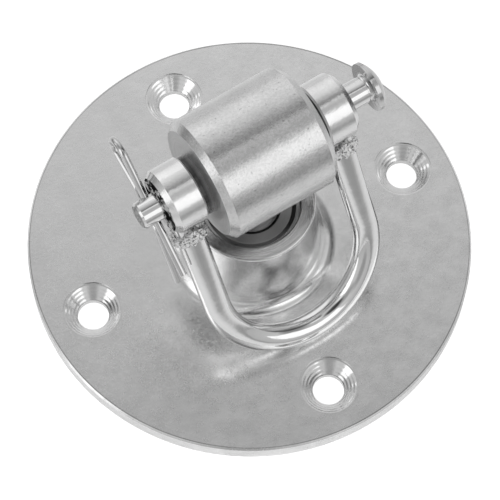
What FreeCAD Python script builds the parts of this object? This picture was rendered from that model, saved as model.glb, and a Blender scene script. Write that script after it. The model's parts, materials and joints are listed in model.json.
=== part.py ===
import FreeCAD, Part
import math
import os
import re
import Sketcher

# Swivel ceiling hook. A round screw plate with a turned boss carries a ball bearing. A stud through
# the bearing carries a cross barrel, and a bail swings from a clevis pin through that barrel.
#
# Frame: the origin is the centre of the plate's back face. +Z runs out of the boss, +X runs along
# the clevis pin towards its head, and the bail leans towards -Y until it rests on the plate.

os.makedirs("parts", exist_ok=True)
doc = FreeCAD.newDocument("ceiling_hook")

# Driving dimensions, in millimetres and degrees
SIZES = {
    # round plate and its four countersunk screw holes
    "plate_diameter": 100.0,
    "plate_thickness": 4.5,
    "plate_edge_chamfer": 0.4,
    "hole_inset": 11.0,
    "hole_count": 4,
    "hole_angle": -5.74,
    "hole_diameter": 7.0,
    "hole_wall": 1.5,
    "sink_diameter": 12.4,
    "sink_step_diameter": 13.3,
    "sink_step_depth": 0.3,
    # turned boss in the middle of the plate
    "boss_height": 25.4,
    "boss_top_diameter": 28.3,
    "boss_foot_diameter": 32.4,
    "boss_foot_flare": 3.6,
    "boss_rim_round": 0.6,
    "boss_mouth_chamfer": 0.3,
    "back_bore_diameter": 18.8,
    # ball bearing pressed into the boss
    "bearing_bore": 8.0,
    "bearing_outside": 22.0,
    "bearing_width": 7.0,
    "bearing_depth": 2.5,
    "bearing_pitch": 15.0,
    "outer_land_diameter": 18.6,
    "inner_land_diameter": 12.3,
    "shield_seat_diameter": 19.9,
    "shield_seat_depth": 0.9,
    "shield_thickness": 0.4,
    "shield_gap": 0.25,
    "ring_chamfer": 0.3,
    "ball_diameter": 3.9,
    "ball_count": 7,
    "race_clearance": 0.05,
    "cage_width": 4.8,
    "cage_wall": 0.8,
    "pocket_clearance": 0.15,
    # swivel stud with its washer and lock nut
    "neck_diameter": 10.0,
    "stud_point_chamfer": 0.8,
    "stud_tail": 1.0,
    "washer_diameter": 12.0,
    "washer_thickness": 1.5,
    "nut_width": 13.0,
    "nut_height": 8.0,
    "nut_corner_chamfer": 0.9,
    # cross barrel with its flanged bushes
    "axis_height": 50.0,
    "barrel_diameter": 27.5,
    "barrel_length": 26.2,
    "barrel_chamfer": 1.5,
    "seat_depth": 1.0,
    "seat_clearance": 0.2,
    "stud_thread_length": 6.5,
    "bush_diameter": 8.5,
    "bush_length": 8.0,
    "flange_diameter": 13.4,
    "flange_thickness": 1.8,
    # bail: two drilled eyes, butt welded to a bent round rod
    "eye_diameter": 14.6,
    "eye_length": 7.5,
    "eye_outer_chamfer": 1.2,
    "eye_inner_chamfer": 0.4,
    "thrust_clearance": 0.1,
    "rod_diameter": 6.0,
    "bail_reach": 25.87,
    "rest_clearance": 0.3,
    "weld_lump_count": 11,
    "weld_lump_diameter": 2.6,
    "weld_ripple_ratio": 0.12,
    # clevis pin with a domed head, and the hairpin clip through its tail
    "pin_diameter": 6.0,
    "pin_clearance": 0.06,
    "head_diameter": 11.2,
    "head_rim": 0.9,
    "head_height": 3.1,
    "head_fillet": 0.8,
    "head_play": 5.9,
    "clip_play": 1.3,
    "pin_tail": 3.1,
    "pin_end_chamfer": 0.5,
    "clip_wire": 1.6,
    "clip_angle": 30.0,
    "clip_tilt_angle": 1.7,
    "clip_hole_clearance": 0.15,
    "clip_tail": 15.2,
    "clip_tip": 17.2,
    "clip_reach": 12.5,
    "clip_bow": 7.0,
    "clip_hug": 0.3,
    "clip_saddle": 4.5,
    "clip_waist": 4.9,
    "clip_rise": 3.3,
    "clip_dip": 3.2,
    "clip_tip_spread": 8.0,
    "clip_bend": 2.0,
    "clip_tip_bend": 3.0,
}

sheet = doc.addObject("Spreadsheet::Sheet", "Sizes")
for row, (alias, value) in enumerate(SIZES.items(), start=1):
    sheet.set("A%d" % row, alias.replace("_", " "))
    sheet.set("B%d" % row, str(value))
    sheet.setAlias("B%d" % row, alias)
doc.recompute()

# How far a cut runs past the face that it starts from, and the closest two places are told apart
OVERRUN = "1"
TOLERANCE = 1e-4

# Places worked out from the sizes
HOLE_CENTRE = "(plate_diameter / 2 - hole_inset)"
BEARING_TOP = "(boss_height - bearing_depth)"
BEARING_SEAT = "(boss_height - bearing_depth - bearing_width)"
NUT_TOP = "(boss_height - bearing_depth - bearing_width - washer_thickness)"
BARREL_SEAT = "(barrel_diameter / 2 - seat_depth)"
EYE_INSIDE = "(barrel_length / 2 + flange_thickness + thrust_clearance)"
EYE_OUTSIDE = "(barrel_length / 2 + flange_thickness + thrust_clearance + eye_length)"
EYE_MIDDLE = "(barrel_length / 2 + flange_thickness + thrust_clearance + eye_length / 2)"
ROD_REST = "(plate_thickness + rest_clearance + rod_diameter / 2)"
BAIL_LENGTH = "sqrt((axis_height - %s) ^ 2 + bail_reach ^ 2)" % ROD_REST
BAIL_LEAN = "atan(bail_reach / (axis_height - %s))" % ROD_REST
HEAD_SEAT = "(%s + head_play)" % EYE_OUTSIDE
CLIP_PLACE = "(%s + clip_play + clip_wire / 2)" % EYE_OUTSIDE
PIN_TAIL = "(%s + pin_tail)" % CLIP_PLACE


def bound(text):
    """The same expression with every size's alias pointed at the sheet."""
    def point(word):
        return "Sizes." + word.group() if word.group() in SIZES else word.group()
    return re.sub(r"[a-z_]+", point, text)


def number(text):
    """What an expression comes to at the present sizes."""
    result = sheet.evalExpression(bound(text))
    return float(getattr(result, "Value", result))


# Helpers for sketches and features

def new_body(label):
    body = doc.addObject("PartDesign::Body", label)
    body.Label = label
    return body


def origin_part(body, role):
    return next(part for part in body.Origin.OriginFeatures if part.Role == role)


def new_sketch(body, plane, label, lift=None):
    """A sketch on one of the body's own origin planes, lifted along the plane's normal."""
    sketch = body.newObject("Sketcher::SketchObject", label)
    sketch.AttachmentSupport = [(origin_part(body, plane), "")]
    sketch.MapMode = "FlatFace"
    if lift:
        sketch.setExpression("AttachmentOffset.Base.z", bound(lift))
    return sketch


def pin_down(sketch, geometry, position, x, y):
    """Tie one point of a sketch to its two coordinates."""
    for kind, axis, text in (("DistanceX", -2, x), ("DistanceY", -1, y)):
        if text == "0":
            sketch.addConstraint(Sketcher.Constraint("PointOnObject", geometry, position, axis))
        else:
            index = sketch.addConstraint(Sketcher.Constraint(kind, -1, 1, geometry, position, number(text)))
            sketch.setExpression("Constraints[%d]" % index, bound(text))


def draw_outline(sketch, points, arcs=None):
    """A closed outline. arcs gives, for the side that leaves a point, its radius and bulge side."""
    arcs = arcs or {}
    places = [FreeCAD.Vector(number(x), number(y), 0) for x, y in points]
    ends = []
    for side, start in enumerate(places):
        end = places[(side + 1) % len(places)]
        if side in arcs:
            radius, bulge = number(arcs[side][0]), arcs[side][1]
            half = (end - start) * 0.5
            away = FreeCAD.Vector(-half.y, half.x, 0).normalize() * math.sqrt(radius**2 - half.Length**2)
            centre = start + half + away * bulge
            turns = [math.atan2(p.y - centre.y, p.x - centre.x) for p in (start, end)]
            circle = Part.Circle(centre, FreeCAD.Vector(0, 0, 1), radius)
            first, last = turns if bulge > 0 else reversed(turns)
            index = sketch.addGeometry(Part.ArcOfCircle(circle, first, last))
            rule = sketch.addConstraint(Sketcher.Constraint("Radius", index, radius))
            sketch.setExpression("Constraints[%d]" % rule, bound(arcs[side][0]))
            ends.append((index, 1, 2) if bulge > 0 else (index, 2, 1))
        else:
            ends.append((sketch.addGeometry(Part.LineSegment(start, end)), 1, 2))
    for side, (index, first, last) in enumerate(ends):
        following = ends[(side + 1) % len(ends)]
        sketch.addConstraint(Sketcher.Constraint("Coincident", index, last, following[0], following[1]))
        pin_down(sketch, index, first, *points[side])


def draw_circle(sketch, x, y, radius):
    centre = FreeCAD.Vector(number(x), number(y), 0)
    circle = Part.Circle(centre, FreeCAD.Vector(0, 0, 1), number(radius))
    index = sketch.addGeometry(circle)
    rule = sketch.addConstraint(Sketcher.Constraint("Radius", index, number(radius)))
    sketch.setExpression("Constraints[%d]" % rule, bound(radius))
    if (x, y) == ("0", "0"):
        sketch.addConstraint(Sketcher.Constraint("Coincident", index, 3, -1, 1))
    else:
        pin_down(sketch, index, 3, x, y)


def turn_outline(body, plane, label, points, axis="V_Axis", arcs=None, cut=False):
    """A solid, or a cut, turned from an outline about an axis of its sketch."""
    sketch = new_sketch(body, plane, label + "_outline")
    draw_outline(sketch, points, arcs)
    feature = body.newObject("PartDesign::Groove" if cut else "PartDesign::Revolution", label)
    feature.Profile = sketch
    feature.ReferenceAxis = (sketch, [axis])
    feature.Angle = 360
    return feature


def push_circle(body, plane, label, place, radius, length=None, lift=None, back=False, cut=False):
    """A round pad or pocket, through all where no length is given."""
    sketch = new_sketch(body, plane, label + "_circle", lift)
    draw_circle(sketch, place[0], place[1], radius)
    feature = body.newObject("PartDesign::Pocket" if cut else "PartDesign::Pad", label)
    feature.Profile = sketch
    feature.Reversed = back
    if length:
        feature.setExpression("Length", bound(length))
    else:
        feature.Type = "ThroughAll"
    return feature


def dress_edges(body, kind, label, size, wanted):
    """A fillet or chamfer on the round edges that the test picks by centre and radius."""
    doc.recompute()
    base = body.Tip
    names = []
    for index, edge in enumerate(base.Shape.Edges, start=1):
        if edge.Degenerated or not isinstance(edge.Curve, Part.Circle):
            continue
        if wanted(edge.Curve.Center, edge.Curve.Radius):
            names.append("Edge%d" % index)
    feature = body.newObject("PartDesign::" + kind, label)
    feature.Base = (base, names)
    feature.setExpression("Radius" if kind == "Fillet" else "Size", bound(size))
    return feature


def near(first, second):
    return abs(first - second) < TOLERANCE


def set_place(thing, height="0", axis=(1, 0, 0), turn="0"):
    """Lift a piece along Z and turn it about an axis through its own origin."""
    # the turn set here only gives the rotation its axis
    thing.Placement = FreeCAD.Placement(FreeCAD.Vector(0, 0, 0), FreeCAD.Rotation(FreeCAD.Vector(*axis), 1))
    thing.setExpression("Placement.Base.z", bound(height))
    thing.setExpression("Placement.Rotation.Angle", bound(turn))


# Plate and boss

def make_base_plate():
    body = new_body("base_plate")
    turn_outline(body, "XZ_Plane", "plate_and_boss", [
        ("back_bore_diameter / 2", "0"),
        ("plate_diameter / 2", "0"),
        ("plate_diameter / 2", "plate_thickness"),
        ("boss_foot_diameter / 2", "plate_thickness"),
        ("boss_top_diameter / 2", "boss_height"),
        ("bearing_outside / 2", "boss_height"),
        ("bearing_outside / 2", BEARING_SEAT),
        ("back_bore_diameter / 2", BEARING_SEAT),
    ])
    top, rim = number("plate_thickness"), number("boss_height")
    edge, foot = number("plate_diameter / 2"), number("boss_foot_diameter / 2")
    dress_edges(body, "Chamfer", "plate_edge", "plate_edge_chamfer",
                lambda c, r: near(c.z, top) and near(r, edge))
    dress_edges(body, "Fillet", "boss_flare", "boss_foot_flare",
                lambda c, r: near(c.z, top) and near(r, foot))
    outside, mouth = number("boss_top_diameter / 2"), number("bearing_outside / 2")
    dress_edges(body, "Fillet", "boss_rim", "boss_rim_round",
                lambda c, r: near(c.z, rim) and near(r, outside))
    dress_edges(body, "Chamfer", "boss_mouth", "boss_mouth_chamfer",
                lambda c, r: near(c.z, rim) and near(r, mouth))
    sketch = new_sketch(body, "XZ_Plane", "screw_hole_outline")
    under, floor, above = "-" + OVERRUN, "plate_thickness - sink_step_depth", "plate_thickness + " + OVERRUN
    draw_outline(sketch, [
        (HOLE_CENTRE, under),
        (HOLE_CENTRE + " + hole_diameter / 2", under),
        (HOLE_CENTRE + " + hole_diameter / 2", "hole_wall"),
        (HOLE_CENTRE + " + sink_diameter / 2", floor),
        (HOLE_CENTRE + " + sink_step_diameter / 2", floor),
        (HOLE_CENTRE + " + sink_step_diameter / 2", above),
        (HOLE_CENTRE, above),
    ])
    low, high = (FreeCAD.Vector(number(HOLE_CENTRE), number(z), 0) for z in (under, above))
    axis = sketch.addGeometry(Part.LineSegment(low, high), True)
    pin_down(sketch, axis, 1, HOLE_CENTRE, under)
    pin_down(sketch, axis, 2, HOLE_CENTRE, above)
    hole = body.newObject("PartDesign::Groove", "screw_hole")
    hole.Profile = sketch
    hole.ReferenceAxis = (sketch, ["Axis0"])
    hole.Angle = 360
    holes = body.newObject("PartDesign::PolarPattern", "screw_holes")
    holes.Originals = [hole]
    holes.Axis = (origin_part(body, "Z_Axis"), [""])
    holes.Angle = 360
    holes.setExpression("Occurrences", bound("hole_count"))
    body.Tip = holes
    set_place(body, axis=(0, 0, 1), turn="hole_angle")
    return body


# Ball bearing

def cut_race(body, label):
    """The round groove that the balls run in."""
    sketch = new_sketch(body, "XZ_Plane", label + "_circle")
    draw_circle(sketch, "bearing_pitch / 2", BEARING_SEAT + " + bearing_width / 2",
                "ball_diameter / 2 + race_clearance")
    groove = body.newObject("PartDesign::Groove", label)
    groove.Profile = sketch
    groove.ReferenceAxis = (sketch, ["V_Axis"])
    groove.Angle = 360


def make_outer_ring():
    body = new_body("bearing_outer_ring")
    seat_top = BEARING_TOP + " - shield_seat_depth"
    seat_low = BEARING_SEAT + " + shield_seat_depth"
    turn_outline(body, "XZ_Plane", "outer_ring", [
        ("bearing_outside / 2", BEARING_SEAT),
        ("bearing_outside / 2", BEARING_TOP),
        ("shield_seat_diameter / 2", BEARING_TOP),
        ("shield_seat_diameter / 2", seat_top),
        ("outer_land_diameter / 2", seat_top),
        ("outer_land_diameter / 2", seat_low),
        ("shield_seat_diameter / 2", seat_low),
        ("shield_seat_diameter / 2", BEARING_SEAT),
    ])
    outside = number("bearing_outside / 2")
    dress_edges(body, "Chamfer", "outer_ring_edges", "ring_chamfer", lambda c, r: near(r, outside))
    cut_race(body, "outer_race")
    return body


def make_inner_ring():
    body = new_body("bearing_inner_ring")
    turn_outline(body, "XZ_Plane", "inner_ring", [
        ("bearing_bore / 2", BEARING_SEAT),
        ("inner_land_diameter / 2", BEARING_SEAT),
        ("inner_land_diameter / 2", BEARING_TOP),
        ("bearing_bore / 2", BEARING_TOP),
    ])
    land = number("inner_land_diameter / 2")
    dress_edges(body, "Chamfer", "inner_ring_edges", "ring_chamfer", lambda c, r: near(r, land))
    cut_race(body, "inner_race")
    return body


def make_shield(label, face, inward):
    """A pressed steel shield: its rim sits in the outer ring's step, below the ring's face."""
    body = new_body(label)
    deep = "%s %s shield_seat_depth" % (face, inward)
    rim = "%s %s (shield_seat_depth - shield_thickness)" % (face, inward)
    lid = "%s %s shield_gap" % (face, inward)
    lid_under = "%s %s (shield_gap + shield_thickness)" % (face, inward)
    turn_outline(body, "XZ_Plane", label + "_pressing", [
        ("shield_seat_diameter / 2", deep),
        ("shield_seat_diameter / 2", rim),
        ("outer_land_diameter / 2", rim),
        ("outer_land_diameter / 2 - shield_thickness", lid),
        ("inner_land_diameter / 2 + shield_gap", lid),
        ("inner_land_diameter / 2 + shield_gap", lid_under),
        ("outer_land_diameter / 2 - shield_thickness", lid_under),
        ("outer_land_diameter / 2 - shield_thickness / 2", deep),
    ])
    return body


def make_balls_and_cage():
    """Loose balls, and the ring with drilled pockets that spaces them."""
    middle = number(BEARING_SEAT + " + bearing_width / 2")
    centre = FreeCAD.Vector(0, 0, middle)
    pitch, count = number("bearing_pitch / 2"), int(number("ball_count"))
    places = [FreeCAD.Vector(pitch * math.cos(2 * math.pi * k / count),
                             pitch * math.sin(2 * math.pi * k / count), middle) for k in range(count)]
    ball = number("ball_diameter / 2")
    pocket = ball + number("pocket_clearance")
    balls = doc.addObject("Part::Feature", "bearing_balls")
    balls.Label = "bearing_balls"
    balls.Shape = Part.makeCompound([Part.makeSphere(ball, place) for place in places])
    width, wall = number("cage_width"), number("cage_wall")
    low = FreeCAD.Vector(0, 0, middle - width / 2)
    ring = Part.makeCylinder(pitch + wall / 2, width, low)
    ring = ring.cut(Part.makeCylinder(pitch - wall / 2, width, low))
    for place in places:
        ring = ring.cut(Part.makeCylinder(pocket, 2 * pitch, centre, place - centre))
    cage = doc.addObject("Part::Feature", "bearing_cage")
    cage.Label = "bearing_cage"
    cage.Shape = ring
    return [balls, cage]


# Swivel stud, washer and nut

def make_stud():
    body = new_body("swivel_stud")
    end = NUT_TOP + " - nut_height - stud_tail"
    seat = "axis_height - " + BARREL_SEAT
    turn_outline(body, "XZ_Plane", "stud_turning", [
        ("0", end),
        ("bearing_bore / 2", end),
        ("bearing_bore / 2", BEARING_TOP),
        ("neck_diameter / 2", BEARING_TOP),
        ("neck_diameter / 2", seat),
        ("bearing_bore / 2", seat),
        ("bearing_bore / 2", seat + " + stud_thread_length"),
        ("0", seat + " + stud_thread_length"),
    ])
    ends = [number(end), number(seat + " + stud_thread_length")]
    dress_edges(body, "Chamfer", "stud_points", "stud_point_chamfer",
                lambda c, r: any(near(c.z, z) for z in ends))
    return body


def make_washer():
    body = new_body("washer")
    turn_outline(body, "XZ_Plane", "washer_ring", [
        ("bearing_bore / 2", NUT_TOP),
        ("washer_diameter / 2", NUT_TOP),
        ("washer_diameter / 2", NUT_TOP + " + washer_thickness"),
        ("bearing_bore / 2", NUT_TOP + " + washer_thickness"),
    ])
    return body


def make_lock_nut():
    """A hexagon with turned corners: the outline of the turning is cut away all round."""
    body = new_body("lock_nut")
    sketch = new_sketch(body, "XY_Plane", "nut_hexagon", NUT_TOP + " - nut_height")
    corner = number("nut_width / sqrt(3)")
    turns = [math.pi * k / 3 for k in range(6)]
    corners = [FreeCAD.Vector(corner * math.cos(turn), corner * math.sin(turn), 0) for turn in turns]
    for k in range(6):
        sketch.addGeometry(Part.LineSegment(corners[k], corners[(k + 1) % 6]))
    guide = sketch.addGeometry(Part.Circle(FreeCAD.Vector(0, 0, 0), FreeCAD.Vector(0, 0, 1), corner), True)
    sketch.addConstraint(Sketcher.Constraint("Coincident", guide, 3, -1, 1))
    for k in range(6):
        sketch.addConstraint(Sketcher.Constraint("Coincident", k, 2, (k + 1) % 6, 1))
        sketch.addConstraint(Sketcher.Constraint("PointOnObject", k, 1, guide))
    for k in range(5):
        sketch.addConstraint(Sketcher.Constraint("Equal", k, k + 1))
    sketch.addConstraint(Sketcher.Constraint("PointOnObject", 0, 1, -1))
    rule = sketch.addConstraint(Sketcher.Constraint("Radius", guide, corner))
    sketch.setExpression("Constraints[%d]" % rule, bound("nut_width / sqrt(3)"))
    pad = body.newObject("PartDesign::Pad", "nut_blank")
    pad.Profile = sketch
    pad.setExpression("Length", bound("nut_height"))
    push_circle(body, "XY_Plane", "nut_thread", ("0", "0"), "bearing_bore / 2", back=True, cut=True)
    top, low = NUT_TOP, NUT_TOP + " - nut_height"
    outer = "nut_width / 2 + nut_corner_chamfer * 2"
    ends = (("nut_top_corners", top, "-", "+"), ("nut_low_corners", low, "+", "-"))
    for label, face, inward, out in ends:
        turn_outline(body, "XZ_Plane", label, [
            ("nut_width / 2", face + out + OVERRUN),
            ("nut_width / 2", face),
            (outer, face + inward + "nut_corner_chamfer"),
            (outer, face + out + OVERRUN),
        ], cut=True)
    return body


# Cross barrel and its bushes, in a frame at the pin's axis

def make_barrel():
    body = new_body("barrel")
    barrel = push_circle(body, "YZ_Plane", "barrel_bar", ("0", "0"), "barrel_diameter / 2", "barrel_length")
    barrel.Midplane = True
    radius = number("barrel_diameter / 2")
    dress_edges(body, "Chamfer", "barrel_ends", "barrel_chamfer", lambda c, r: near(r, radius))
    bore = push_circle(body, "YZ_Plane", "bush_bore", ("0", "0"), "bush_diameter / 2", cut=True)
    bore.Midplane = True
    push_circle(body, "XY_Plane", "stud_hole", ("0", "0"), "bearing_bore / 2",
                lift="stud_thread_length - " + BARREL_SEAT, cut=True)
    push_circle(body, "XY_Plane", "stud_seat", ("0", "0"), "neck_diameter / 2 + seat_clearance",
                lift="-" + BARREL_SEAT, cut=True)
    set_place(body, "axis_height")
    return body


def make_bush(label, side):
    """A flanged plain bush: its flange fills the room between barrel and eye."""
    body = new_body(label)
    face = "%s * barrel_length / 2" % side
    turn_outline(body, "XZ_Plane", label + "_turning", [
        ("%s * (barrel_length / 2 - bush_length)" % side, "pin_diameter / 2 + pin_clearance"),
        ("%s * (barrel_length / 2 + flange_thickness)" % side, "pin_diameter / 2 + pin_clearance"),
        ("%s * (barrel_length / 2 + flange_thickness)" % side, "flange_diameter / 2"),
        (face, "flange_diameter / 2"),
        (face, "bush_diameter / 2"),
        ("%s * (barrel_length / 2 - bush_length)" % side, "bush_diameter / 2"),
    ], axis="H_Axis")
    set_place(body, "axis_height")
    return body


# Bail, in a frame at the pin's axis with the rod hanging along -Z before it leans

def make_eye(label, side):
    body = new_body(label)
    push_circle(body, "YZ_Plane", label + "_bar", ("0", "0"), "eye_diameter / 2", "eye_length",
                lift="%s * %s" % (side, EYE_INSIDE), back=side < 0)
    radius = number("eye_diameter / 2")
    outside, inside = (number("%s * %s" % (side, place)) for place in (EYE_OUTSIDE, EYE_INSIDE))
    dress_edges(body, "Chamfer", label + "_outer_edge", "eye_outer_chamfer",
                lambda c, r: near(c.x, outside) and near(r, radius))
    dress_edges(body, "Chamfer", label + "_inner_edge", "eye_inner_chamfer",
                lambda c, r: near(c.x, inside) and near(r, radius))
    running_fit = "pin_diameter / 2 + pin_clearance"
    bore = push_circle(body, "YZ_Plane", label + "_bore", ("0", "0"), running_fit, cut=True)
    bore.Midplane = True
    set_place(body, "axis_height", turn="-" + BAIL_LEAN)
    return body


def make_bail_rod():
    """The rod follows straight, half round, straight, and its ends are coped to the eyes."""
    body = new_body("bail_rod")
    bend = "(%s - %s)" % (BAIL_LENGTH, EYE_MIDDLE)
    path = new_sketch(body, "XZ_Plane", "rod_path")
    half, low = number(EYE_MIDDLE), -number(bend)
    left = path.addGeometry(Part.LineSegment(FreeCAD.Vector(-half, 0, 0), FreeCAD.Vector(-half, low, 0)))
    circle = Part.Circle(FreeCAD.Vector(0, low, 0), FreeCAD.Vector(0, 0, 1), half)
    bow = path.addGeometry(Part.ArcOfCircle(circle, math.pi, 2 * math.pi))
    right = path.addGeometry(Part.LineSegment(FreeCAD.Vector(half, low, 0), FreeCAD.Vector(half, 0, 0)))
    path.addConstraint(Sketcher.Constraint("Coincident", left, 2, bow, 1))
    path.addConstraint(Sketcher.Constraint("Coincident", bow, 2, right, 1))
    pin_down(path, left, 1, "-" + EYE_MIDDLE, "0")
    pin_down(path, left, 2, "-" + EYE_MIDDLE, "-" + bend)
    pin_down(path, right, 1, EYE_MIDDLE, "-" + bend)
    pin_down(path, right, 2, EYE_MIDDLE, "0")
    rule = path.addConstraint(Sketcher.Constraint("DistanceY", -1, 1, bow, 3, low))
    path.setExpression("Constraints[%d]" % rule, bound("-" + bend))
    section = new_sketch(body, "XY_Plane", "rod_section")
    draw_circle(section, "-" + EYE_MIDDLE, "0", "rod_diameter / 2")
    pipe = body.newObject("PartDesign::AdditivePipe", "rod")
    pipe.Profile = section
    pipe.Spine = (path, [])
    cope = push_circle(body, "YZ_Plane", "rod_cope", ("0", "0"), "eye_diameter / 2", cut=True)
    cope.Midplane = True
    set_place(body, "axis_height", turn="-" + BAIL_LEAN)
    return body


def make_weld(label, side):
    """A ring of weld lumps where the rod meets its eye, trimmed to both."""
    rod, eye = number("rod_diameter / 2"), number("eye_diameter / 2")
    lump, count = number("weld_lump_diameter / 2"), int(number("weld_lump_count"))
    middle, ripple = side * number(EYE_MIDDLE), number("weld_ripple_ratio")
    lumps = []
    for k in range(count):
        turn = 2 * math.pi * k / count
        across = rod * math.sin(turn)
        place = FreeCAD.Vector(middle + rod * math.cos(turn), across, -math.sqrt(eye**2 - across**2))
        lumps.append(Part.makeSphere(lump * (1 + ripple * math.sin(3 * turn)), place))
    along = FreeCAD.Vector(1, 0, 0)
    down = FreeCAD.Vector(0, 0, -1)
    bar = Part.makeCylinder(eye, 4 * eye, FreeCAD.Vector(middle - 2 * eye, 0, 0), along)
    leg = Part.makeCylinder(rod, 2 * eye, FreeCAD.Vector(middle, 0, 0), down)
    weld = doc.addObject("Part::Feature", label)
    weld.Label = label
    weld.Shape = lumps[0].multiFuse(lumps[1:]).removeSplitter().cut(bar).cut(leg)
    set_place(weld, "axis_height", turn="-" + BAIL_LEAN)
    return weld


# Clevis pin and hairpin clip, in a frame at the pin's axis with the cross hole along Y

def make_clevis_pin():
    body = new_body("clevis_pin")
    dome_rise = "(head_height - head_rim)"
    dome = "((head_diameter ^ 2 / 4 + %s ^ 2) / (2 * %s))" % (dome_rise, dome_rise)
    turn_outline(body, "XZ_Plane", "pin_turning", [
        ("-" + PIN_TAIL, "0"),
        ("-" + PIN_TAIL, "pin_diameter / 2"),
        (HEAD_SEAT, "pin_diameter / 2"),
        (HEAD_SEAT, "head_diameter / 2"),
        (HEAD_SEAT + " + head_rim", "head_diameter / 2"),
        (HEAD_SEAT + " + head_height", "0"),
    ], axis="H_Axis", arcs={4: (dome, -1)})
    tail, radius = -number(PIN_TAIL), number("pin_diameter / 2")
    seat = number(HEAD_SEAT)
    dress_edges(body, "Chamfer", "pin_end", "pin_end_chamfer", lambda c, r: near(c.x, tail))
    dress_edges(body, "Fillet", "head_root", "head_fillet",
                lambda c, r: near(c.x, seat) and near(r, radius))
    hole = push_circle(body, "XZ_Plane", "clip_hole", ("-" + CLIP_PLACE, "0"),
                       "clip_wire / 2 + clip_hole_clearance", cut=True)
    hole.Midplane = True
    set_place(body, "axis_height", turn="clip_angle")
    return body


def rounded_path(points, radii):
    """Straight runs joined by tangent arcs. A bend with no radius starts where the last one ends."""
    edges = []
    start = points[0]
    for before, corner, after, radius in zip(points, points[1:], points[2:], radii):
        into, out = (corner - before).normalize(), (after - corner).normalize()
        turn = into.getAngle(out)
        radius = radius or (corner - start).Length / math.tan(turn / 2)
        cut = radius * math.tan(turn / 2)
        first, last = corner - into * cut, corner + out * cut
        inward = (out - into).normalize()
        middle = corner + inward * (radius / math.cos(turn / 2) - radius)
        if (first - start).Length > TOLERANCE:
            edges.append(Part.LineSegment(start, first).toShape())
        edges.append(Part.Arc(first, middle, last).toShape())
        start = last
    edges.append(Part.LineSegment(start, points[-1]).toShape())
    return Part.Wire(edges)


def make_r_clip():
    """One leg runs straight through the pin, the other is waved and passes under it.

    The clip sits a little askew in its hole, its bow towards the eye.
    """
    wire = number("clip_wire / 2")
    place = -number(CLIP_PLACE)
    tail, reach, bow = number("clip_tail"), number("clip_reach"), number("clip_bow")
    hug = number("pin_diameter / 2 + clip_wire / 2 + clip_hug")
    waist, saddle = number("clip_waist"), number("clip_saddle / 2")
    corners = [
        (-tail, 0),
        (reach + bow / 2, 0),
        (reach + bow / 2, -bow),
        (waist, -number("clip_rise")),
        (saddle, -hug),
        (-saddle, -hug),
        (-waist, -number("clip_dip")),
        (-number("clip_tip"), -number("clip_tip_spread")),
    ]
    tilt = math.radians(number("clip_tilt_angle"))
    points = [FreeCAD.Vector(place + along * math.sin(tilt), along * math.cos(tilt), out)
              for along, out in corners]
    bend = number("clip_bend")
    spine = rounded_path(points, [bow / 2, None, bend, bend, bend, number("clip_tip_bend")])
    section = Part.Wire(Part.Circle(points[0], points[1] - points[0], wire).toShape())
    clip = doc.addObject("Part::Feature", "r_clip")
    clip.Label = "r_clip"
    clip.Shape = spine.makePipeShell([section], True, True)
    set_place(clip, "axis_height", turn="clip_angle")
    return clip


pieces = [
    make_base_plate(),
    make_outer_ring(),
    make_inner_ring(),
    make_shield("bearing_top_shield", BEARING_TOP, "-"),
    make_shield("bearing_bottom_shield", BEARING_SEAT, "+"),
    *make_balls_and_cage(),
    make_stud(),
    make_washer(),
    make_lock_nut(),
    make_barrel(),
    make_bush("left_bush", -1),
    make_bush("right_bush", 1),
    make_eye("left_eye", -1),
    make_eye("right_eye", 1),
    make_bail_rod(),
    make_weld("left_weld", -1),
    make_weld("right_weld", 1),
    make_clevis_pin(),
    make_r_clip(),
]

doc.recompute()
for thing in doc.Objects:
    if "Invalid" in thing.State or "Error" in thing.State:
        raise RuntimeError("%s did not build: %s" % (thing.Label, thing.State))
for piece in pieces:
    if piece.Shape.isNull() or not piece.Shape.isValid():
        raise RuntimeError("%s has no valid shape" % piece.Label)
for piece in pieces:
    box = piece.Shape.BoundBox
    print("%-24s solids %d  volume %9.2f  x %.2f %.2f  y %.2f %.2f  z %.2f %.2f" % (
        piece.Label, len(piece.Shape.Solids), piece.Shape.Volume,
        box.XMin, box.XMax, box.YMin, box.YMax, box.ZMin, box.ZMax))
    piece.Shape.exportStep("parts/%s.step" % piece.Label)
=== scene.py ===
import json
import math

import bpy
from mathutils import Matrix, Quaternion, Vector


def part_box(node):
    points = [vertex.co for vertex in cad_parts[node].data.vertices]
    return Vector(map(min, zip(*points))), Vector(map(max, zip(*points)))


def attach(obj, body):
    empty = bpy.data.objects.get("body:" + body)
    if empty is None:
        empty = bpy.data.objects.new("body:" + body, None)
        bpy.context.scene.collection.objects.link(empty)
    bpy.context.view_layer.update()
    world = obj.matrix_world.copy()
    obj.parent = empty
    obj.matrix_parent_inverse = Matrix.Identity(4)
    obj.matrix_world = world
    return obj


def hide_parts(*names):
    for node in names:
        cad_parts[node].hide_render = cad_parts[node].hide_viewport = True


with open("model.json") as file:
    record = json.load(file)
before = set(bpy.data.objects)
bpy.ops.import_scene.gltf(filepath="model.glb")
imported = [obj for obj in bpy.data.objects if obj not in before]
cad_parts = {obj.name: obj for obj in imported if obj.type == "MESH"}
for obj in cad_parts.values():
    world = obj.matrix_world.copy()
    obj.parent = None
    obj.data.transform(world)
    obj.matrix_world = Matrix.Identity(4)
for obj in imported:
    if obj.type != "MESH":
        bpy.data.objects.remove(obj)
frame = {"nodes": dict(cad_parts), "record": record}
bpy.context.view_layer.update()


# Sizes in millimetres, from the frame where it gives them

MM = 0.001
X, Y, Z = range(3)


def reach(node, axis, corner=1):
    """How far a node reaches along an axis, or with corner 0 where it starts."""
    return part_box(node)[corner][axis] / MM


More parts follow.
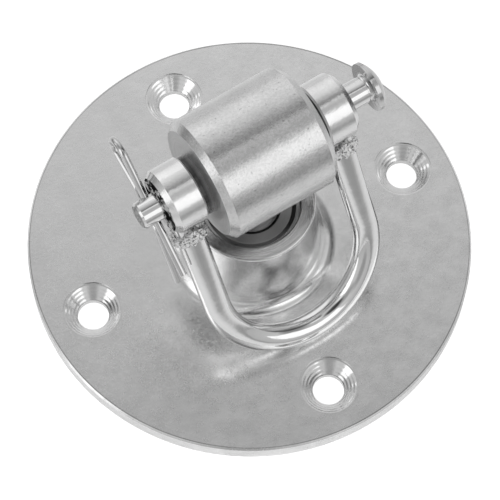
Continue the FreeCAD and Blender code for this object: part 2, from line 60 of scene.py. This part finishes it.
mounts = {mount["name"]: mount for mount in frame["record"]["mounts"]}
joints = {joint["name"]: joint for joint in frame["record"]["behaviour"]["joints"]}
PLATE_RADIUS = reach("base_plate", X)
BOSS_TOP = reach("base_plate", Z)
BARREL_END = reach("barrel", X)
EYE_END = reach("right_eye", X)
EYE_MIDDLE = round((reach("right_eye", X, corner=0) + EYE_END) / 2, 2)
PIN_END = reach("clevis_pin", X, corner=0)
PIN_HEAD_SEAT = 28.4
AXIS_HEIGHT = joints["bail_swing"]["pos_m"][Z] / MM
HOLE_CIRCLE_RADIUS = mounts["screw_holes"]["dims"]["pcd_mm"] / 2
HOLE_ANGLE = -5.74
SINK_RADIUS = 6.6
SINK_TOOL_PITCH = 0.7
SHIELD_INNER_GROOVE = 6.65
SHIELD_OUTER_GROOVE = 8.95


# Node trees written as expressions


class Wire:
    """One output socket. Arithmetic on it adds Math nodes to the tree it belongs to."""

    def __init__(self, tree, socket):
        self.tree = tree
        self.socket = socket

    def math(self, operation, *values):
        return self.tree.node("ShaderNodeMath", {"operation": operation}, self, *values)

    def __add__(self, other):
        return self.math("ADD", other)

    __radd__ = __add__

    def __sub__(self, other):
        return self.math("SUBTRACT", other)

    def __rsub__(self, other):
        return self.math("MULTIPLY_ADD", -1.0, other)

    def __mul__(self, other):
        return self.math("MULTIPLY", other)

    __rmul__ = __mul__

    def __truediv__(self, other):
        return self.math("DIVIDE", other)

    def part(self, name):
        """Another output of the same node."""
        return Wire(self.tree, self.socket.node.outputs[name])


class Tree:
    """The nodes of one material or of the world."""

    def __init__(self, owner):
        owner.use_nodes = True
        self.nodes = owner.node_tree.nodes
        self.links = owner.node_tree.links
        self.nodes.clear()

    def fill(self, socket, value):
        if isinstance(value, Wire):
            self.links.new(value.socket, socket)
        else:
            socket.default_value = value

    def node(self, kind, settings=None, *values, **named):
        """A node of that kind: its settings first, then its sockets in order or by name."""
        made = self.nodes.new(kind)
        for name, value in (settings or {}).items():
            setattr(made, name, value)
        for socket, value in zip(made.inputs, values):
            self.fill(socket, value)
        for name, value in named.items():
            self.fill(made.inputs[name.replace("_", " ")], value)
        visible = [socket for socket in made.outputs if socket.enabled]
        return Wire(self, visible[0]) if visible else None

    def mix(self, share, first, second):
        """Colour first where share is 0 and second where it is 1."""
        made = self.nodes.new("ShaderNodeMix")
        made.data_type = "RGBA"
        for place, value in ((0, share), (6, first), (7, second)):
            self.fill(made.inputs[place], value)
        return Wire(self, made.outputs[2])

    def ramp(self, value, start, end):
        """A straight ramp between two (place, level) pairs, flat before and after them."""
        places, levels = zip(start, end)
        return self.node("ShaderNodeMapRange", {"clamp": True}, value, *places, *levels)

    def place(self, scale=(1.0, 1.0, 1.0), turn=(0.0, 0.0, 0.0)):
        """Object coordinates, turned and scaled."""
        spot = self.node("ShaderNodeTexCoord").part("Object")
        return self.node("ShaderNodeMapping", {}, Vector=spot, Rotation=turn, Scale=scale)

    def parts(self, vector):
        """The three numbers of a vector."""
        split = self.node("ShaderNodeSeparateXYZ", {}, vector)
        return split, split.part("Y"), split.part("Z")

    def noise(self, spot, scale, detail=2.0, roughness=0.5):
        return self.node(
            "ShaderNodeTexNoise", {}, Vector=spot, Scale=scale, Detail=detail, Roughness=roughness
        )


def grey(level):
    return (level, level, level, 1.0)


WHITE = grey(1.0)


# Camera


def point_at(azimuth, elevation):
    """The direction at that azimuth, 0 towards -Y and 90 towards +X, and height above the horizon."""
    around, up = math.radians(azimuth), math.radians(elevation)
    return Vector((math.sin(around) * math.cos(up), -math.cos(around) * math.cos(up), math.sin(up)))


VIEW_AZIMUTH = -33.93
VIEW_ELEVATION = 67.15
VIEW_ROLL = 1.77
VIEW_DISTANCE = 543.8
LOOK_AT = (-0.38, -0.84, 0.0)


def set_camera():
    """The photograph's view: from above, a little to the left, from about half a metre."""
    data = bpy.data.cameras.new("camera")
    camera = bpy.data.objects.new("camera", data)
    bpy.context.scene.collection.objects.link(camera)
    data.lens = 172.7
    data.sensor_width = 36.0
    data.clip_start = 0.01
    data.clip_end = 50.0
    back = point_at(VIEW_AZIMUTH, VIEW_ELEVATION)
    camera.location = Vector(LOOK_AT) * MM + back * VIEW_DISTANCE * MM
    camera.rotation_mode = "QUATERNION"
    roll = Quaternion((0, 0, 1), math.radians(VIEW_ROLL))
    camera.rotation_quaternion = (-back).to_track_quat("-Z", "Y") @ roll
    bpy.context.scene.camera = camera


set_camera()
bpy.context.scene.view_settings.view_transform = "Standard"


# Floor, studio and lamps

FLOOR_SIZE = 6.0
FLOOR_DROP = 0.1

# Light of the studio at the horizon and overhead, and the share of it that is left in the gap
LOW_LEVEL = 0.48
HIGH_LEVEL = 0.7
GAP_SHARE = 0.2

# Dark and light patches of the studio: azimuth, elevation, the angle within which a patch is full,
# the angle past which it is gone, and the share of the light that it leaves
PATCHES = [
    (322.0, 71.0, 9.0, 17.0, 0.12),
    (220.0, 50.0, 10.0, 26.0, 0.6),
    (108.0, 35.0, 8.0, 24.0, 0.65),
    (36.0, 65.0, 5.0, 14.0, 0.74),
    (165.0, 28.0, 10.0, 42.0, 1.35),
    (133.0, 68.0, 3.0, 10.0, 1.25),
    (326.0, 23.0, 8.0, 20.0, 0.6),
    (190.0, 70.0, 8.0, 26.0, 0.7),
    (318.0, 56.0, 10.0, 22.0, 0.55),
    (82.0, 52.0, 10.0, 22.0, 0.45),
    (80.0, 77.0, 3.0, 9.0, 1.35),
    (279.0, 57.0, 5.0, 16.0, 1.35),
]

# Soft boxes: name, azimuth, elevation, width and height in degrees, and brightness
LAMP_DISTANCE = 1.3
LAMPS = [
    ("front_lamp", 28.0, 37.0, 50.0, 34.0, 0.59),
    ("left_lamp", 267.0, 31.0, 27.0, 54.0, 0.65),
    ("back_lamp", 176.0, 23.0, 26.0, 36.0, 0.25),
    ("narrow_lamp", 223.0, 20.0, 9.0, 24.0, 0.6),
]


def lay_floor():
    """A plain white floor with the object's soft shadow.

    In the metal it is white round the plate and light further out, but dark towards the camera
    and in the back left corner.
    """
    bpy.ops.object.select_all(action="DESELECT")
    bpy.ops.mesh.primitive_plane_add(size=FLOOR_SIZE, location=(0, 0, -FLOOR_DROP * MM))
    floor = bpy.context.object
    floor.name = "floor"
    material = bpy.data.materials.new("white_floor")
    tree = Tree(material)
    path = tree.node("ShaderNodeLightPath")
    x, y, _ = tree.parts(tree.place())
    out = (x * x + y * y).math("SQRT")
    far = tree.mix(tree.ramp(y, (-0.3, 0.0), (0.3, 1.0)), grey(0.22), grey(0.85))
    far = tree.mix(tree.ramp(x, (-0.35, 1.0), (-0.08, 0.0)), far, grey(0.85))
    corner = tree.ramp(y, (0.05, 0.0), (0.15, 1.0)) * tree.ramp(x, (-0.12, 1.0), (-0.02, 0.0))
    far = tree.mix(corner, far, grey(0.15))
    mirrored = tree.mix(tree.ramp(out, (0.09, 0.0), (0.2, 1.0)), grey(0.95), far)
    tone = tree.mix(path.part("Is Glossy Ray"), grey(0.9), mirrored)
    surface = tree.node("ShaderNodeBsdfDiffuse", {}, tone)
    strength = path.part("Is Camera Ray") * 0.75 + path.part("Is Glossy Ray") * 0.2
    glow = tree.node("ShaderNodeEmission", {}, WHITE, strength)
    tree.node("ShaderNodeOutputMaterial", {}, tree.node("ShaderNodeAddShader", {}, surface, glow))
    floor.data.materials.append(material)


def set_world():
    """A grey studio, lighter overhead, with its patches and a dark gap that fades to the back."""
    world = bpy.data.worlds.new("studio")
    bpy.context.scene.world = world
    tree = Tree(world)
    direction = tree.node("ShaderNodeTexCoord").part("Generated")
    x, y, z = tree.parts(direction)
    level = tree.ramp(z, (0.0, LOW_LEVEL), (1.0, HIGH_LEVEL))
    for azimuth, elevation, full, gone, share in PATCHES:
        towards = tree.node(
            "ShaderNodeVectorMath", {"operation": "DOT_PRODUCT"}, direction, point_at(azimuth, elevation)
        )
        outside = (math.cos(math.radians(gone)), 1.0)
        inside = (math.cos(math.radians(full)), share)
        level = level * tree.ramp(towards, outside, inside)
    sharp = tree.ramp(y, (-0.02, 1.0), (0.005, GAP_SHARE))
    soft = tree.ramp(y, (0.02, GAP_SHARE), (0.45, 1.0))
    left = tree.ramp(x, (0.0, 1.0), (0.1, 0.0))
    level = level * sharp.math("MAXIMUM", soft).math("MAXIMUM", left)
    seen = tree.node("ShaderNodeLightPath").part("Is Camera Ray")
    light = tree.node("ShaderNodeBackground", {}, WHITE, seen + (1.0 - seen) * level)
    tree.node("ShaderNodeOutputWorld", {}, light)


def hang_lamp(name, azimuth, elevation, width, height, brightness):
    """A soft box that faces the object from that direction."""
    data = bpy.data.lights.new(name, "AREA")
    data.shape = "RECTANGLE"
    data.size = 2 * LAMP_DISTANCE * math.tan(math.radians(width / 2))
    data.size_y = 2 * LAMP_DISTANCE * math.tan(math.radians(height / 2))
    data.energy = brightness * math.pi * data.size * data.size_y
    lamp = bpy.data.objects.new(name, data)
    bpy.context.scene.collection.objects.link(lamp)
    away = point_at(azimuth, elevation)
    lamp.location = away * LAMP_DISTANCE
    lamp.rotation_mode = "QUATERNION"
    lamp.rotation_quaternion = away.to_track_quat("Z", "Y")


lay_floor()
set_world()
for lamp in LAMPS:
    hang_lamp(*lamp)


# Weld beads

# The way that the rod's legs run from the eyes, and how far the beads are drawn out along them
LEG = Vector((0.0, -0.5225, -0.8526))
WELD_RUN = 2.1
WELD_ROOT_DROP = 5
WELD_GRAIN = 0.13

# Lumps, each with its size, its height and the level that stays where it was
WELD_LUMPS = [
    ("ripples", 1.3 * MM, 0.9 * MM, 0.62),
    ("spatter", 0.45 * MM, 0.45 * MM, 0.6),
]


def rough_weld(name, side):
    """The bead's own shape run further down the rod, with lumps and spatter, sunk rather than raised."""
    bpy.ops.object.select_all(action="DESELECT")
    weld = bpy.data.objects.new(name + "_bead", frame["nodes"][name].data.copy())
    bpy.context.scene.collection.objects.link(weld)
    bpy.context.view_layer.objects.active = weld
    weld.select_set(True)
    bpy.ops.object.mode_set(mode="EDIT")
    bpy.ops.mesh.select_all(action="SELECT")
    bpy.ops.mesh.remove_doubles(threshold=0.001 * MM)
    bpy.ops.object.mode_set(mode="OBJECT")
    root = Vector((side * EYE_MIDDLE, 0.0, AXIS_HEIGHT)) * MM + LEG * WELD_ROOT_DROP * MM
    run = Matrix.Translation(root) @ Matrix.Scale(WELD_RUN, 4, LEG) @ Matrix.Translation(-root)
    weld.data.transform(run)
    even = weld.modifiers.new("even", "REMESH")
    even.mode = "VOXEL"
    even.voxel_size = WELD_GRAIN * MM
    bpy.ops.object.modifier_apply(modifier="even")
    for label, size, height, level in WELD_LUMPS:
        texture = bpy.data.textures.new(label, "CLOUDS")
        texture.noise_scale = size
        texture.noise_depth = 2
        lumps = weld.modifiers.new(label, "DISPLACE")
        lumps.texture = texture
        lumps.texture_coords = "LOCAL"
        lumps.strength = height
        lumps.mid_level = level
        bpy.ops.object.modifier_apply(modifier=label)
    bpy.ops.object.shade_smooth()
    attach(weld, "bail")
    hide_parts(name)
    return weld


welds = [rough_weld("left_weld", -1), rough_weld("right_weld", 1)]


# Helpers for the finishes


def new_tree(name):
    """A new material, its nodes and the place on the piece."""
    material = bpy.data.materials.new(name)
    tree = Tree(material)
    return material, tree, tree.place()


def polar(across, up):
    """Distance from an axis, and the two parts of the direction from it."""
    radius = (across * across + up * up).math("SQRT")
    return radius, across / radius, up / radius


def turned_lines(tree, depth, first, second, pitch, spread):
    """Fine lines that change fast with depth and slowly with the two parts of a direction."""
    line = tree.node("ShaderNodeCombineXYZ", {}, depth / (pitch * MM), first * spread, second * spread)
    return tree.noise(line, 1.0, 3.0, 0.6)


def drawn_rings(tree, pitch, spread, detail, roughness):
    """Rings round X that are uneven along X, as on turned bar."""
    return tree.noise(tree.place(scale=(1 / (pitch * MM), spread, spread)), 1.0, detail, roughness)


def turned_end(tree, spot):
    """Rings round the pin's axis, for faces turned square to it."""
    _, across, up = tree.parts(spot)
    radius, first, second = polar(across, up - AXIS_HEIGHT * MM)
    return turned_lines(tree, radius, first, second, 0.35, 1.2)


def end_face(tree, spot, end):
    """1 on the faces that end a piece along X, on either side."""
    along = tree.parts(spot)[X].math("ABSOLUTE")
    return tree.ramp(along, ((end - 0.07) * MM, 0.0), ((end - 0.05) * MM, 1.0))


def plated(tree, spot, tone, spread, size):
    """A zinc-like grey in wide clouds with small specks, then the clouds and the specks."""
    clouds = tree.noise(spot, 1 / (size * MM), 3.0, 0.55)
    specks = tree.noise(spot, 14 / (size * MM), 2.0, 0.6)
    share = tree.ramp(clouds * 0.8 + specks * 0.2, (0.3, 0.0), (0.7, 1.0))
    return tree.mix(share, grey(tone - spread), grey(tone + spread)), clouds, specks


def dented(tree, *layers):
    """A normal with several height layers, each given with its depth in millimetres."""
    sockets = {}
    for height, depth in layers:
        normal = tree.node("ShaderNodeBump", {}, Strength=1.0, Distance=depth * MM, Height=height, **sockets)
        sockets = {"Normal": normal}
    return normal


def finish(material, tree, tone, gloss, normal, painted_shade=None, metallic=1.0, **more):
    """The shader itself, black and dull where the painted shade is 1."""
    skin = tree.node(
        "ShaderNodeBsdfPrincipled",
        {},
        Base_Color=tone,
        Metallic=metallic,
        Roughness=gloss,
        Normal=normal,
        **more,
    )
    # Painted shade: a flat black shader mixed in where the mask is 1
    if painted_shade:
        black = tree.node("ShaderNodeBsdfDiffuse", {}, grey(0.012))
        skin = tree.node("ShaderNodeMixShader", {}, painted_shade, skin, black)
    tree.node("ShaderNodeOutputMaterial", {}, skin)
    return material


# Finishes


def screw_sinks(tree, turned):
    """1 inside the countersinks, and the rings that the tool left in them."""
    x, y, _ = tree.parts(turned)
    across, along = x.math("ABSOLUTE"), y.math("ABSOLUTE")
    out = across.math("MAXIMUM", along) - HOLE_CIRCLE_RADIUS * MM
    side = across.math("MINIMUM", along)
    hole = (out * out + side * side).math("SQRT")
    in_sink = tree.ramp(hole, (SINK_RADIUS * MM, 1.0), ((SINK_RADIUS + 0.1) * MM, 0.0))
    return in_sink, (hole * (2 * math.pi / (SINK_TOOL_PITCH * MM))).math("SINE") * in_sink


def painted_rim_shade(tree, radius, wide):
    """A thin uneven line of painted shade just inside the plate's edge."""
    inner = tree.ramp(radius, ((PLATE_RADIUS - 0.7) * MM, 0.0), ((PLATE_RADIUS - 0.5) * MM, 1.0))
    outer = tree.ramp(radius, ((PLATE_RADIUS - 0.42) * MM, 1.0), ((PLATE_RADIUS - 0.38) * MM, 0.0))
    return inner * outer * tree.ramp(wide, (0.25, 0.2), (0.6, 0.9))


def make_turned_steel():
    """Plate and boss: turned, plated and stained, with a darker and smoother boss and a line of painted
    shade inside the plate's edge.
    """
    material, tree, spot = new_tree("turned_steel")
    x, y, height = tree.parts(spot)
    radius, first, second = polar(x, y)
    lines = turned_lines(tree, radius + height, first, second, 0.25, 2.0)
    wide = turned_lines(tree, radius + height, first, second, 2.5, 1.2)
    grain = tree.noise(spot, 1500.0, 4.0, 0.7)
    stains = tree.noise(spot, 260.0, 4.0, 0.6)
    turned = tree.place(turn=(0.0, 0.0, math.radians(-HOLE_ANGLE)))
    in_sink, tool = screw_sinks(tree, turned)
    stained_side = tree.ramp(tree.parts(turned)[Y], (-15 * MM, 1.0), (10 * MM, 0.35))
    stained = tree.ramp(stains, (0.35, 0.24), (0.62, 0.0)) * stained_side
    boss = tree.ramp(height, (6 * MM, 0.0), (10 * MM, 1.0))
    boss_and_foot = tree.ramp(radius, (22 * MM, 1.0), (26 * MM, 0.0))
    top = tree.ramp(height, ((BOSS_TOP - 0.3) * MM, 0.0), ((BOSS_TOP - 0.1) * MM, 1.0))
    top_tone = tree.mix(tree.ramp(lines, (0.4, 0.0), (0.6, 1.0)), grey(0.6), grey(0.76))
    tone, clouds, _ = plated(tree, spot, 0.96, 0.03, 9)
    tone = tree.mix(stained, tone, grey(0.55))
    # Painted shade: a dark line just inside the plate's edge
    tone = tree.mix(painted_rim_shade(tree, radius, wide), tone, grey(0.22))
    tone = tree.mix(boss, tone, grey(0.82))
    tone = tree.mix(top, tone, top_tone)
    gloss = 0.06 + wide * 0.05 + lines * 0.04 + clouds * 0.08 - in_sink * 0.03 - boss_and_foot * 0.05
    gloss = gloss + tree.ramp(grain, (0.4, 0.0), (0.65, 0.12)) * (1.0 - in_sink * 0.8)
    gloss = gloss + tree.ramp(stains, (0.4, 0.05), (0.65, 0.0)) * (1.0 - in_sink)
    raised = lines * (top * 5.0 + 1.0)
    normal = dented(tree, (raised, 0.003), (grain, 0.014), (clouds, 0.06), (tool, 0.007))
    return finish(material, tree, tone, gloss, normal, Anisotropic=0.35)


def make_barrel_steel():
    """Barrel: turned bar, tumbled, with grain, pits and small nicks, and rings on its end faces."""
    material, tree, spot = new_tree("barrel_steel")
    rings = drawn_rings(tree, 0.3, 60.0, 3.0, 0.6)
    grain = tree.noise(spot, 1700.0, 4.0, 0.75)
    pits = tree.noise(spot, 2100.0, 2.0, 0.5)
    tone, clouds, _ = plated(tree, spot, 0.74, 0.05, 5)
    chips = tree.node("ShaderNodeTexVoronoi", {"feature": "F1"}, Vector=spot, Scale=260.0)
    nick = tree.ramp(chips, (0.03, 1.0), (0.1, 0.0)) * tree.ramp(clouds, (0.55, 0.0), (0.64, 1.0))
    end = end_face(tree, spot, BARREL_END)
    circles = turned_end(tree, spot)
    tone = tree.mix(tree.ramp(grain, (0.36, 0.3), (0.6, 0.0)), tone, grey(0.42))
    tone = tree.mix(nick, tone, grey(0.2))
    tone = tree.mix(tree.ramp(pits, (0.66, 0.0), (0.72, 0.55)), tone, grey(0.25))
    tone = tree.mix(end, tone, tree.mix(circles, grey(0.55), grey(0.86)))
    gloss = 0.1 + rings * 0.05 + grain * 0.12 + clouds * 0.04 + end * 0.12
    layers = [(rings, 0.005), (grain, 0.035), (clouds, 0.08), (nick, -0.02), (circles * end, 0.01)]
    return finish(material, tree, tone, gloss, dented(tree, *layers))


def make_eye_steel():
    """Eyes: short turned bars, brighter than the barrel, with painted shade, black, on the end where the
    clip sits.
    """
    material, tree, spot = new_tree("eye_steel")
    rings = drawn_rings(tree, 0.3, 60.0, 3.0, 0.6)
    grain = tree.noise(spot, 1500.0, 3.0, 0.7)
    tone, clouds, _ = plated(tree, spot, 0.83, 0.04, 4)
    end = end_face(tree, spot, EYE_END)
    # Painted shade: black patches on the end face on the clip's side, standing in for the clip's shade
    clip_side = tree.ramp(tree.parts(spot)[X], (-1 * MM, 1.0), (1 * MM, 0.1))
    painted_shade = tree.ramp(tree.noise(spot, 420.0, 3.0, 0.6), (0.48, 0.0), (0.53, 1.0)) * end * clip_side
    gloss = 0.1 + rings * 0.06 + grain * 0.12 + end * 0.05
    normal = dented(tree, (rings, 0.006), (grain, 0.025), (clouds, 0.06))
    return finish(material, tree, tone, gloss, normal, painted_shade)


def make_rod_steel():
    """Bail rod: polished, with a few faint rubs and dull spots."""
    material, tree, spot = new_tree("rod_steel")
    tone, clouds, specks = plated(tree, spot, 0.84, 0.025, 6)
    rubs = tree.noise(tree.place(scale=(900.0, 200.0, 120.0)), 1.0, 2.0, 0.5)
    gloss = 0.035 + tree.ramp(rubs, (0.5, 0.0), (0.8, 0.12)) + specks * 0.03
    normal = dented(tree, (clouds, 0.05), (specks, 0.004))
    return finish(material, tree, tone, gloss, normal)


def make_weld_metal():
    """Weld beads: rippled and pitted, dark in the pits."""
    material, tree, spot = new_tree("weld_metal")
    pits = tree.noise(spot, 1800.0, 4.0, 0.65)
    lumps = tree.noise(spot, 620.0, 2.0, 0.5)
    tone = tree.mix(tree.ramp(pits, (0.37, 0.0), (0.49, 1.0)), grey(0.1), grey(0.97))
    normal = dented(tree, (lumps, 0.4), (pits, 0.1))
    return finish(material, tree, tone, 0.2 + pits * 0.3, normal)


def make_pin_steel():
    """Clevis pin: turned round X and polished, darker on its head, with dark rings on its tail's end."""
    material, tree, spot = new_tree("pin_steel")
    rings = drawn_rings(tree, 0.25, 50.0, 2.0, 0.5)
    circles = turned_end(tree, spot)
    along = tree.parts(spot)[X]
    head = tree.ramp(along, ((PIN_HEAD_SEAT - 0.6) * MM, 0.0), ((PIN_HEAD_SEAT + 0.2) * MM, 1.0))
    tail = tree.ramp(along, ((PIN_END + 0.04) * MM, 1.0), ((PIN_END + 0.1) * MM, 0.0))
    tail_tone = tree.mix(tree.ramp(circles, (0.4, 0.0), (0.6, 1.0)), grey(0.2), grey(0.66))
    tone, clouds, specks = plated(tree, spot, 0.8, 0.03, 4)
    tone = tree.mix(head, tone, grey(0.62))
    tone = tree.mix(tail, tone, tail_tone)
    gloss = 0.06 + rings * 0.06 + specks * 0.04 + tail * 0.15
    normal = dented(tree, (rings, 0.01), (clouds, 0.04))
    return finish(material, tree, tone, gloss, normal)


def make_clip_steel():
    """Clip: bright drawn wire."""
    material, tree, spot = new_tree("clip_steel")
    tone, clouds, specks = plated(tree, spot, 0.68, 0.06, 3)
    normal = dented(tree, (clouds, 0.03), (specks, 0.004))
    return finish(material, tree, tone, 0.05 + specks * 0.05, normal)


def make_stud_steel():
    """Stud, washer and nut: plain machined steel."""
    material, tree, spot = new_tree("stud_steel")
    x, y, height = tree.parts(spot)
    radius, first, second = polar(x, y)
    lines = turned_lines(tree, radius + height, first, second, 0.2, 1.5)
    tone, _, specks = plated(tree, spot, 0.4, 0.04, 5)
    gloss = 0.24 + lines * 0.1 + specks * 0.06
    normal = dented(tree, (lines, 0.008), (specks, 0.01))
    return finish(material, tree, tone, gloss, normal)


def make_bearing_steel():
    """Bearing rings and balls: ground steel."""
    material, tree, spot = new_tree("bearing_steel")
    x, y, _ = tree.parts(spot)
    radius, first, second = polar(x, y)
    lines = turned_lines(tree, radius, first, second, 0.12, 1.0)
    tone, _, specks = plated(tree, spot, 0.42, 0.02, 4)
    normal = dented(tree, (lines, 0.003), (specks, 0.002))
    return finish(material, tree, tone, 0.1 + lines * 0.08, normal)


def make_shield_steel():
    """Shields and cage: dark pressed sheet, with black painted shade in the gaps along both edges of a
    shield, less dark on one side of the outer gap.
    """
    material, tree, spot = new_tree("shield_steel")
    x, y, _ = tree.parts(spot)
    radius, first, second = polar(x, y)
    lines = turned_lines(tree, radius, first, second, 0.3, 1.0)
    # Painted shade: black rings over the gaps at both edges of the shield
    inner = tree.ramp(radius, (SHIELD_INNER_GROOVE * MM, 1.0), ((SHIELD_INNER_GROOVE + 0.15) * MM, 0.0))
    outer = tree.ramp(radius, (SHIELD_OUTER_GROOVE * MM, 0.0), ((SHIELD_OUTER_GROOVE + 0.15) * MM, 1.0))
    # Painted shade: the outer ring is less dark on this one side
    less_shaded_side = tree.ramp(first * 0.56 + second * 0.83, (-0.8, 1.0), (-0.4, 0.0))
    tone, _, specks = plated(tree, spot, 0.4, 0.03, 3)
    tone = tree.mix(outer, tone, tree.mix(less_shaded_side, grey(0.03), grey(0.2)))
    tone = tree.mix(inner, tone, grey(0.03))
    normal = dented(tree, (lines, 0.006), (specks, 0.006))
    return finish(material, tree, tone, 0.26 + lines * 0.1, normal)


def make_bush_plastic():
    """Bushes: black moulded plastic with a fine grain, lighter next to the barrel."""
    material, tree, spot = new_tree("bush_plastic")
    grain = tree.noise(spot, 3200.0, 3.0, 0.6)
    clouds = tree.noise(spot, 420.0, 2.0, 0.5)
    along = tree.parts(spot)[X].math("ABSOLUTE")
    away_from_barrel = tree.ramp(along, ((BARREL_END + 0.4) * MM, 0.0), ((BARREL_END + 1.1) * MM, 1.0))
    tone = tree.mix(away_from_barrel, grey(0.2), grey(0.02))
    tone = tree.mix(clouds * 0.5, tone, grey(0.05))
    normal = dented(tree, (grain, 0.01), (clouds, 0.02))
    return finish(material, tree, tone, 0.2 + grain * 0.12, normal, metallic=0.0, Coat_Weight=0.6)


MAKERS = {
    "turned_steel": make_turned_steel,
    "bearing_steel": make_bearing_steel,
    "shield_steel": make_shield_steel,
    "stud_steel": make_stud_steel,
    "barrel_steel": make_barrel_steel,
    "bush_plastic": make_bush_plastic,
    "eye_steel": make_eye_steel,
    "rod_steel": make_rod_steel,
    "weld_metal": make_weld_metal,
    "pin_steel": make_pin_steel,
    "clip_steel": make_clip_steel,
}

finishes = {name: maker() for name, maker in MAKERS.items()}
for weld in welds:
    weld.data.materials.clear()
    weld.data.materials.append(finishes["weld_metal"])
for subpart in frame["record"]["subparts"]:
    for holder in frame["nodes"][subpart["node"]].material_slots:
        holder.material = finishes[subpart["material_slot"]]
